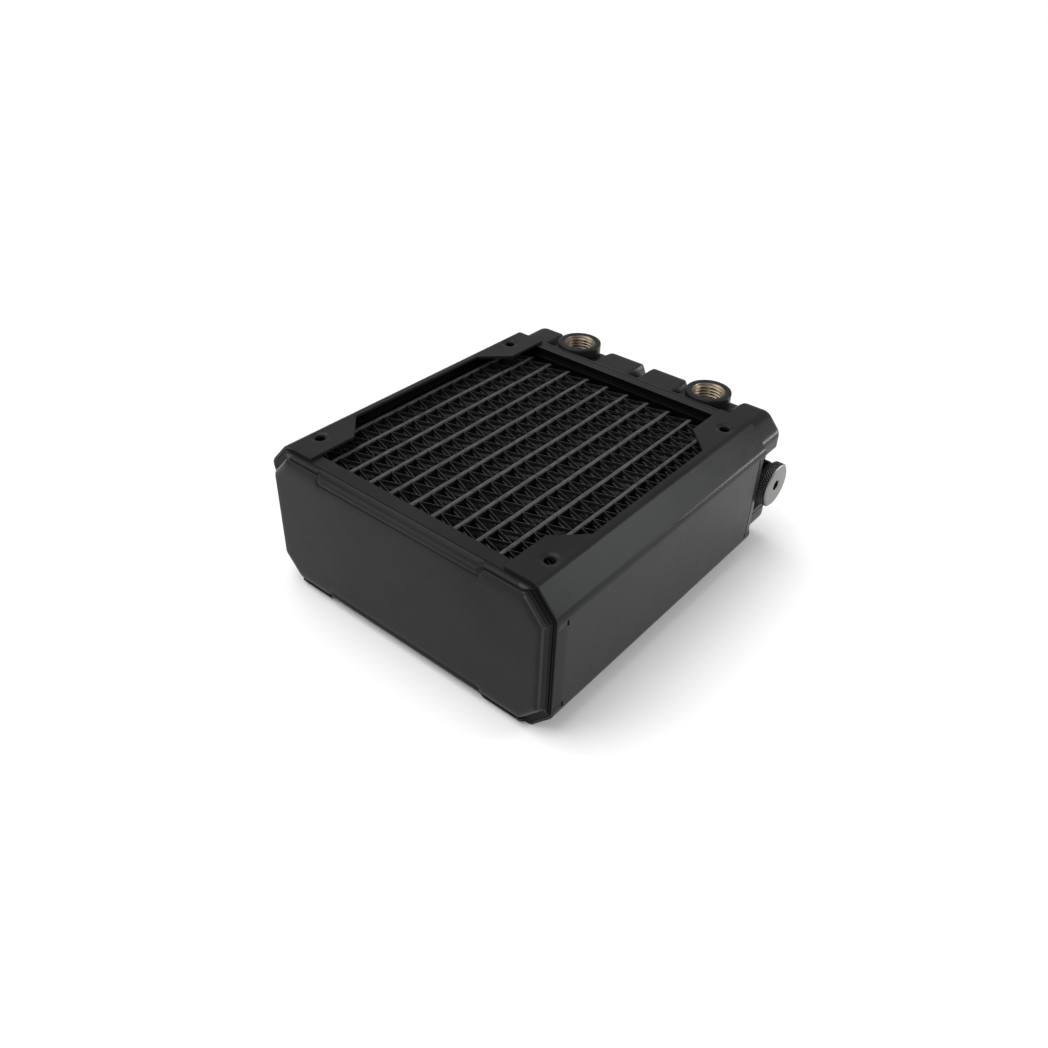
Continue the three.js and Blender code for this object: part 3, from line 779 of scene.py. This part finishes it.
def pinch_drop(x, y):
    depth = VALLEY_DEPTH * (1 - smooth(VALLEY_FLOOR, VALLEY_HALF + VALLEY_WIDENING * flare(y, 6.0), abs(x)))
    return depth * smooth(TANK_START + 1.6, TANK_START + 4.6, y)


def port_side_drop(z, y):
    wide = 1 - smooth(11.2, 13.4, abs(z))
    return VENT_RECESS_DEPTH * wide * smooth(TANK_START + 1.3, TANK_START + 2.6, y)


def port_tank():
    back = TANK_HIGH.y
    straight = back - BACK_EDGE
    steps = [(TANK_START, 0, 0, 0), (TANK_START + 0.9, 0, 0, 0), (TANK_START + 1.15, 0.10, 0.08, 0.05),
             (TANK_START + 1.35, 0.40, 0.28, 0.2), (TANK_START + 1.45, 0.95, 0.6, 0.4),
             (TANK_START + 1.7, 1.4, 0.9, 0.58), (TANK_START + 2.2, BODY_TOP, BODY_SIDE, BODY_CHAMFER)]
    y = TANK_START + 2.6
    while y < straight - 0.3:
        steps.append((y, BODY_TOP, BODY_SIDE, BODY_CHAMFER))
        y += 0.7 if y < TANK_START + 6 else 1.5
    for step in range(11):
        angle = math.radians(9 * step)
        drop = BACK_EDGE * (1 - math.cos(angle))
        y = straight + BACK_EDGE * math.sin(angle)
        steps.append((y, BODY_TOP + drop, BODY_SIDE + drop, BODY_CHAMFER + drop))
    rings = []
    for y, top, flank, chamfer in steps:
        ring = []
        radius = 2.8 + 2.0 * smooth(TANK_START + 1.2, TANK_START + 2.2, y)
        for x, z, before, after, _ in lip_loop(top, flank, chamfer, radius, COUNTS):
            if before == after == "top":
                drop = port_top_drop(x, y) if z > 0 else pinch_drop(x, y)
                z -= math.copysign(drop, z)
            elif before == after == "side" and x > 0:
                x -= port_side_drop(z, y)
            ring.append((x, y, z))
        rings.append(ring)

    def cap(x, z):
        return back - BACK_GROOVE_DEPTH * (1 - smooth(BACK_GROOVE_FLOOR, BACK_GROOVE_HALF, abs(x)))

    obj = capped_loft("port_tank_pressed", rings, 1, [COAT], cap, 2.0, closed=True)
    # The middle of the last ring follows the groove in the back.
    for vertex in obj.data.vertices:
        local = (vertex.co - CENTRE) / MM
        if local.y > back - 0.5 and abs(local.x) < BACK_GROOVE_HALF:
            vertex.co.y = CENTRE.y + min(local.y, cap(local.x, local.z)) * MM
    cutters = [cutter_cylinder((x, PORT_Y, 10), OPENING_RADIUS, 44, "Z") for x in PORT_X]
    cutters.append(cutter_cylinder((BOSS_LOW.x, PORT_Y, 0), OPENING_RADIUS, 26, "X"))
    for cutter in cutters:
        modifier = obj.modifiers.new("opening", "BOOLEAN")
        modifier.operation = "DIFFERENCE"
        modifier.solver = "EXACT"
        modifier.object = cutter
    settle(obj, 38, True)
    for cutter in cutters:
        bpy.data.objects.remove(cutter)
    return finish_piece(obj, RADIATOR, "powder_coat", "port_tank")


def cutter_cylinder(centre, radius, length, axis):
    edit = bmesh.new()
    bmesh.ops.create_cone(edit, cap_ends=True, segments=64, radius1=radius * MM, radius2=radius * MM,
                          depth=length * MM)
    if axis == "X":
        quarter = Matrix.Rotation(math.pi / 2, 3, "Y")
        bmesh.ops.rotate(edit, verts=edit.verts, cent=(0, 0, 0), matrix=quarter)
    bmesh.ops.translate(edit, verts=edit.verts, vec=Vector(centre) * MM + CENTRE)
    mesh = bpy.data.meshes.new("cutter")
    edit.to_mesh(mesh)
    edit.free()
    obj = link_object("cutter", mesh)
    obj.hide_render = True
    return obj


# ---- turned pieces --------------------------------------------------------
def turned(name, rows, centre, axis, materials, count=96):
    """Rows of (radius or radius function of the turn, height, material index), closed on itself."""
    points = []
    for radius, height, _ in rows:
        for k in range(count):
            angle = 2 * math.pi * k / count
            r = radius(angle) if callable(radius) else radius
            u, v = r * math.cos(angle), r * math.sin(angle)
            offset = (u, v, height) if axis == "Z" else (height, u, v)
            points.append(tuple(c + o for c, o in zip(centre, offset)))
    indices = [index for _, _, index in rows[:-1] for _ in range(count)]
    obj = make_object(name, points, loft_faces(len(rows), count), materials, indices)
    clean_mesh(obj, MERGE_TURNED, MERGE_FINE)
    return obj


THREAD_PITCH = 1.337
THREAD_MINOR, THREAD_MAJOR = 5.78, 6.42
NECK_RADIUS = 7.2
COLLAR_HEIGHT = 4.5


def thread_rows(start, end, minor, major, material, per_turn=10):
    """Rows of a helical thread between two heights."""
    count = max(2, round((end - start) / THREAD_PITCH * per_turn))
    rows = []
    for step in range(count + 1):
        height = mix(start, end, step / count)

        def radius(angle, height=height):
            phase = (height / THREAD_PITCH - angle / (2 * math.pi)) % 1.0
            return mix(minor, major, clamp((abs(2 * phase - 1) - 0.10) / 0.80))

        rows.append((radius, height, material))
    return rows


def port_socket(name, x, node):
    low, high = node_box(node)
    top, end = high.z, low.z
    seat = high.z - COLLAR_HEIGHT
    collar = (high.x - low.x) / 2
    rows = [
        (NECK_RADIUS, seat, 0), (NECK_RADIUS, end + 0.3, 0), (6.9, end, 1), (THREAD_MAJOR, end, 1),
        *thread_rows(end, top - 0.9, THREAD_MINOR, THREAD_MAJOR, 1),
        (6.35, top - 0.62, 1), (6.62, top - 0.28, 0), (6.85, top - 0.06, 0), (7.1, top, 0),
        (collar - 0.55, top, 0), (collar - 0.25, top - 0.07, 0), (collar - 0.06, top - 0.25, 0),
        (collar, top - 0.55, 0), (collar, seat + 0.2, 0), (collar, seat - 0.2, 0),
        (NECK_RADIUS, seat - 0.2, 0), (NECK_RADIUS, seat, 0),
    ]
    obj = turned(name, rows, (x, PORT_Y, 0), "Z", [COAT, BRASS])
    settle(obj, 40)
    return finish_piece(obj, RADIATOR, "brass", node)


def vent_socket():
    face, end = BOSS_HIGH.x, BOSS_LOW.x
    seat = TANK_HIGH.x - BODY_SIDE - VENT_RECESS_DEPTH + 0.15
    boss = (BOSS_HIGH.z - BOSS_LOW.z) / 2
    rows = [
        (NECK_RADIUS, seat, 0), (NECK_RADIUS, end + 0.2, 0), (7.0, end, 1), (6.62, end, 1),
        (6.6, face - 0.5, 1), (6.75, face - 0.1, 0), (6.9, face, 0), (boss - 0.5, face, 0),
        (boss - 0.12, face - 0.15, 0), (boss, face - 0.5, 0), (boss, seat, 0), (NECK_RADIUS, seat, 0),
    ]
    # The boss's outer coat is painted deep shade.
    obj = turned("vent_socket_turned", rows, (0, PORT_Y, 0), "X", [COAT_PAINTED_DEEP_SHADE, BRASS])
    settle(obj, 40)
    return finish_piece(obj, RADIATOR, "brass", "vent_socket")


KNURL_TEETH = 48
KNURL_RISE = 1.5
KNURL_DEPTH = 0.42
KNURL_STEPS = 26
HEAD_HEIGHT = 4.0
SHANK_RADIUS = 6.15


def vent_plug():
    face, radius = PLUG_HIGH.x, (PLUG_HIGH.z - PLUG_LOW.z) / 2
    under, end = face - HEAD_HEIGHT, PLUG_LOW.x
    knurl_low, knurl_high = under + 0.4, face - 0.55
    socket_radius, socket_depth = 2.3, 3.0

    def knurl(height):
        def at(angle):
            turn = KNURL_TEETH * angle / (2 * math.pi)
            along = height / KNURL_RISE
            cut = max(abs(2 * (way % 1.0) - 1) for way in (turn + along, turn - along))
            return radius - KNURL_DEPTH * smooth(0.35, 1.0, cut)
        return at

    def hexagon(angle):
        turn = (angle + math.pi / 6) % (math.pi / 3) - math.pi / 6
        return socket_radius * math.cos(math.pi / 6) / math.cos(turn)

    shank = SHANK_RADIUS
    rows = [(0.0, end, 1), (shank - 0.9, end, 1), (shank - 0.5, end + 0.5, 1)]
    rows += thread_rows(end + 0.6, under - 1.2, shank - 0.55, shank, 1, 8)
    rows += [(shank - 0.6, under - 1.0, 1), (shank - 0.6, under, 1), (radius - 0.75, under, 1),
             (radius - 0.45, under + 0.12, 1), (radius - 0.34, under + 0.35, 1)]
    for step in range(KNURL_STEPS + 1):
        height = mix(knurl_low, knurl_high, step / KNURL_STEPS)
        rows.append((knurl(height), height, 1))
    rows += [(radius - 0.34, face - 0.45, 0), (radius - 0.38, face - 0.36, 0),
             (radius - 0.75, face - 0.06, 0), (radius - 1.0, face, 0), (socket_radius + 0.75, face, 0),
             (socket_radius + 0.35, face, 0), (hexagon, face - 0.25, 1),
             (hexagon, face - socket_depth, 1), (0.0, face - socket_depth - 0.6, 1)]
    metals = [PLUG_METAL, PLUG_BLACK, PLUG_RIDGE_PAINTED_HIGHLIGHT]
    obj = turned("vent_plug_knurled", rows, (0, PORT_Y, 0), "X", metals, KNURL_TEETH * 8)
    # The knurl's outermost faces get the lighter copy of the black metal as a painted highlight.
    for polygon in obj.data.polygons:
        x, y, z = (polygon.center - CENTRE) / MM
        if knurl_low < x < knurl_high and math.hypot(y - PORT_Y, z) > radius - 0.08:
            polygon.material_index = 2
    settle(obj, 35)
    return finish_piece(obj, "vent_plug", "plug_metal", "vent_plug")


def seal_ring():
    section = (SEAL_HIGH.x - SEAL_LOW.x) / 2
    major = (SEAL_HIGH.z - SEAL_LOW.z) / 2 - section
    centre = (SEAL_HIGH.x + SEAL_LOW.x) / 2
    rows = []
    for step in range(17):
        angle = 2 * math.pi * step / 16
        rows.append((major + section * math.cos(angle), centre + section * math.sin(angle), 0))
    obj = turned("vent_plug_seal", rows, (0, PORT_Y, 0), "X", [RUBBER], 72)
    settle(obj)
    return finish_piece(obj, "plug_seal", "rubber", "vent_plug_oring")


# ---- core -----------------------------------------------------------------
TUBE_STEPS = 84
TUBE_SHEET = 0.35
UNEVEN_END, UNEVEN_FADE = 58, 50  # the tubes run straight near the headers
DIP, DIP_START, DIP_END = 0.9, 58.1, 59.2  # their crests dip where they enter the headers
# The crest keeps its painted highlight only this far from the middle; nearer the headers it takes the wall's
# painted shade.
CREST_LIT_HALF_LENGTH = 58.8


def flat_tube(column, row):
    node = f"flat_tube_{row}_{column + 1:02d}"
    low, high = node_box(node)
    sign = 1 if row == "upper" else -1
    inner, outer = (low.z, high.z) if sign > 0 else (-high.z, -low.z)
    half = TUBE_HALF
    # round crest, one side, round inner edge, other side
    section = []
    for step in range(9):
        angle = math.pi * step / 8
        section.append((half * math.cos(angle), outer - half + half * math.sin(angle)))
    levels = [mix(outer, inner, share) for share in (0.35, 0.7)]
    for z in levels:
        section.append((-half, z))
    for step in range(5):
        angle = math.pi + math.pi * step / 4
        section.append((half * math.cos(angle), inner + half + half * math.sin(angle)))
    for z in reversed(levels):
        section.append((half, z))
    size = len(section)
    points = []
    for step in range(TUBE_STEPS + 1):
        y = mix(low.y, high.y, step / TUBE_STEPS)
        free = 1 - smooth(UNEVEN_FADE, UNEVEN_END, abs(y))
        sway = 0.16 * noise.noise(Vector((column * 7.3, y * 0.055, sign * 2.0))) * free
        swell = 1 + 0.10 * noise.noise(Vector((column * 3.7, y * 0.16, sign * 5.0))) * free
        sag = 0.12 * noise.noise(Vector((column * 5.1, y * 0.10, sign * 9.0))) * free
        dip = DIP * smooth(DIP_START, DIP_END, abs(y))
        for u, z in section:
            top = smooth(outer - 6, outer, z)
            drop = ((sag - 0.10) * free - dip) * top
            points.append((TUBE_X[column] + sway + u * mix(1, swell, top), y, sign * (z + drop)))
    # Crest faces take the painted highlight, the rest the painted shade.
    crest = [min(section[k][1], section[(k + 1) % size][1]) > outer - 0.55 for k in range(size)]
    shades = []
    for step in range(TUBE_STEPS):
        crest_lit = abs(mix(low.y, high.y, (step + 0.5) / TUBE_STEPS)) < CREST_LIT_HALF_LENGTH
        shades += [0 if on_crest and crest_lit else 1 for on_crest in crest]
    faces = loft_faces(TUBE_STEPS + 1, size)
    obj = make_object(f"tube_{row}_{column + 1:02d}", points, faces, [TUBE, TUBE_WALL_PAINTED_SHADE], shades)
    clean_mesh(obj, MERGE_FINE)
    thicken(obj, TUBE_SHEET)
    settle(obj, 50)
    return finish_piece(obj, RADIATOR, "tube_paint", node)


FOLDS = 37
FIN_SHEET = 0.18
SLAT_PITCH = 1.55
SLAT_ANGLE = math.radians(24)
FOLD_JITTER = 0.24
CREST_INSET, CREST_HALF, CREST_RADIUS = 0.62, 0.42, 0.3
FIN_RIM = 1.3  # height of the plain band along a strip's top and bottom


BOX_QUADS = np.array([(0, 1, 3, 2), (4, 6, 7, 5), (0, 4, 5, 1), (2, 3, 7, 6), (0, 2, 6, 4), (1, 5, 7, 3)])


def fin_geometry(seed, half_width, top, length):
    """Points and quads of one folded strip: rounded crests with tilted slats between them."""
    rng = random.Random(seed)
    pitch = 2 * length / FOLDS
    crest = half_width - 0.05
    slat_end = crest - CREST_INSET
    folds = []
    for fold in range(FOLDS + 1):
        jitter = 0.0 if fold in (0, FOLDS) else rng.uniform(-FOLD_JITTER, FOLD_JITTER)
        folds.append(((-1 if fold % 2 == 0 else 1), -length + fold * pitch + jitter))
    blocks, quads = [], []
    shades = []
    levels = np.arange(-top + 1.5, top - 1.4, SLAT_PITCH)
    used = 0
    for (side_a, y_a), (side_b, y_b) in zip(folds, folds[1:]):
        start = np.array([side_a * slat_end, y_a + CREST_HALF])
        end = np.array([side_b * slat_end, y_b - CREST_HALF])
        along = (end - start) / np.linalg.norm(end - start)
        across = np.array([-along[1], along[0]])
        for z in levels:
            tilt = SLAT_ANGLE * (1 if z > 0 else -1) * rng.uniform(0.85, 1.15)
            half = SLAT_PITCH * 0.35
            for p in (start, end):
                for edge in (-1, 1):
                    for skin in (-0.5, 0.5):
                        n = edge * half * math.sin(tilt) + skin * FIN_SHEET * math.cos(tilt)
                        h = edge * half * math.cos(tilt) - skin * FIN_SHEET * math.sin(tilt)
                        blocks.append((*(p + across * n), z + h))
            quads.append(BOX_QUADS + used)
            # Half the slats, picked at random, get a painted highlight on their broad faces; their thin edges
            # always get one.
            broad_painted_highlight = 2 if rng.random() < 0.5 else 0
            shades += (0, 0, 1, 1, broad_painted_highlight, broad_painted_highlight)
            used += 8
        for low, high in ((-top, -top + FIN_RIM), (top - FIN_RIM, top)):
            for p in (start, end):
                for z in (low, high):
                    for skin in (-0.5, 0.5):
                        blocks.append((*(p + across * skin * FIN_SHEET), z))
            quads.append(BOX_QUADS + used)
            # The plain band's top and bottom faces get the painted highlight.
            shades += (0, 0, 1, 1, 0, 0)
            used += 8
    for fold, (side_a, y_a) in enumerate(folds):
        line = []
        if fold > 0:
            line.append((side_a * slat_end, y_a - CREST_HALF))
        for step in range(5):
            angle = math.pi * (step / 4 - 0.5)
            out = crest - CREST_RADIUS + CREST_RADIUS * math.cos(angle)
            line.append((side_a * out, y_a + CREST_RADIUS * math.sin(angle)))
        if fold < FOLDS:
            line.append((side_a * slat_end, y_a + CREST_HALF))
        points = np.array(line)
        tangent = np.gradient(points, axis=0)
        tangent /= np.linalg.norm(tangent, axis=1)[:, None]
        normal = np.stack([-tangent[:, 1], tangent[:, 0]], axis=1)
        count = len(points)
        for skin in (-0.5, 0.5):
            for z in (-top, top):
                for p in points + normal * skin * FIN_SHEET:
                    blocks.append((*p, z))
        for k in range(count - 1):
            for a, b in ((0, 1), (1, 3), (3, 2), (2, 0)):
                quads.append(np.array([[used + a * count + k, used + a * count + k + 1,
                                        used + b * count + k + 1, used + b * count + k]]))
                # The crest's top and bottom faces get the painted highlight.
                shades.append(1 if (a, b) in ((1, 3), (2, 0)) else 0)
        for k in (0, count - 1):
            quads.append(np.array([[used + k, used + count + k, used + 3 * count + k, used + 2 * count + k]]))
            shades.append(0)
        used += 4 * count
    return np.array(blocks), np.concatenate(quads), shades


def fin_strip(index):
    node = f"fin_strip_{index + 1:02d}"
    low, high = node_box(node)
    half_width = (high.x - low.x) / 2 + 0.25
    points, quads, shades = fin_geometry(101 + index, half_width, high.z, high.y - 0.1)
    points[:, 0] += (low.x + high.x) / 2
    obj = make_object(f"fins_{index + 1:02d}", points, quads, [FIN, FIN_EDGE_PAINTED_HIGHLIGHT, FIN_SLAT_PAINTED_HIGHLIGHT], shades)
    clean_mesh(obj, MERGE_FINE)
    settle(obj, 45)
    return finish_piece(obj, RADIATOR, "core_paint", node)


# ---- build ----------------------------------------------------------------
side_panel("panel_left_bent", -1, "side_panel_left")
side_panel("panel_right_bent", 1, "side_panel_right")
header_plate("header_return_pressed", -1, "header_plate_return")
header_plate("header_port_pressed", 1, "header_plate_port")
return_tank()
port_tank()
for socket_name, socket_x in zip(("left", "right"), PORT_X):
    port_socket(f"port_{socket_name}_threaded", socket_x, f"port_socket_{socket_name}")
vent_socket()
vent_plug()
seal_ring()
for tube_column in range(TUBE_COLUMNS):
    flat_tube(tube_column, "upper")
    flat_tube(tube_column, "lower")
for strip in range(TUBE_COLUMNS + 1):
    fin_strip(strip)
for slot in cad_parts["tank_divider"].material_slots:
    slot.material = FIN


# ---- stage, light and camera ----------------------------------------------
FLOOR_HALF, FLOOR_LEVEL = 8.0, -0.0001  # metres, just under the part
WORLD_STRENGTH = 0.50
SUN_POWER, SUN_ANGLE, SUN_DIRECTION = 2.4, 60, (0.40, 0.20, -1.0)
# Area lights: name, place, target and size in metres, power in watts.
LIGHTS = [
    ("back_low", (0.80, 1.22, 0.10), (0.06, 0.03, 0.05), (0.40, 0.12), 4.6),
    ("back_high", (0.44, 0.36, 0.33), (0.06, -0.01, 0.05), (0.22, 0.22), 0.95),
    ("front_left", (-0.40, -0.62, 0.22), (0, -0.06, 0.04), (0.3, 0.16), 0.6),
    ("front_right", (0.33, -0.52, 0.30), (0.04, -0.05, 0.03), (0.12, 0.12), 0.7),
]
CAMERA_LENS, CAMERA_SENSOR = 32.18, 36.0
CAMERA_ANGLES = (38.29, 36.41, 2.22)  # azimuth, elevation and roll in degrees
CAMERA_PLACE = (183.31, -231.54, 176.30)  # from the middle of the top flange's plane


def add_floor():
    mesh = bpy.data.meshes.new("floor")
    corners = rectangle(-FLOOR_HALF, FLOOR_HALF, -FLOOR_HALF, FLOOR_HALF)
    mesh.from_pydata([(x, y, FLOOR_LEVEL) for x, y in corners], [], [(0, 1, 2, 3)])
    mesh.materials.append(floor_material())
    floor = link_object("floor", mesh)


def add_area(name, location, target, size, power):
    """Rectangular light at a place, turned to a target."""
    data = bpy.data.lights.new(name, "AREA")
    data.shape = "RECTANGLE"
    data.size, data.size_y = size
    data.energy = power
    light = link_object(name, data)
    light.location = Vector(location)
    light.rotation_euler = (Vector(target) - Vector(location)).to_track_quat("-Z", "Y").to_euler()


def add_sun():
    data = bpy.data.lights.new("sky_key", "SUN")
    data.energy = SUN_POWER
    data.angle = math.radians(SUN_ANGLE)
    light = link_object("sky_key", data)
    light.rotation_euler = Vector(SUN_DIRECTION).to_track_quat("-Z", "Y").to_euler()


def add_camera():
    data = bpy.data.cameras.new("camera")
    data.lens = CAMERA_LENS
    data.sensor_width = CAMERA_SENSOR
    data.clip_start, data.clip_end = 0.01, 20.0
    camera = link_object("camera", data)
    azimuth, elevation, roll = (math.radians(angle) for angle in CAMERA_ANGLES)
    level = math.cos(elevation)
    back = Vector((math.sin(azimuth) * level, -math.cos(azimuth) * level, math.sin(elevation)))
    tilt = Matrix.Rotation(roll, 3, "Z").to_quaternion()
    camera.rotation_mode = "QUATERNION"
    camera.rotation_quaternion = (-back).to_track_quat("-Z", "Y") @ tilt
    x, y, z = CAMERA_PLACE
    camera.location = Vector((x, y, z + HALF_THICKNESS)) * MM + CENTRE
    bpy.context.scene.camera = camera


def add_world():
    world = bpy.data.worlds.new("studio")
    world.use_nodes = True
    background = world.node_tree.nodes["Background"]
    background.inputs["Color"].default_value = (1.0, 1.0, 1.0, 1.0)
    background.inputs["Strength"].default_value = WORLD_STRENGTH
    bpy.context.scene.world = world


add_floor()
add_world()
add_sun()
for area_light in LIGHTS:
    add_area(*area_light)
add_camera()
bpy.context.scene.view_settings.view_transform = "Standard"
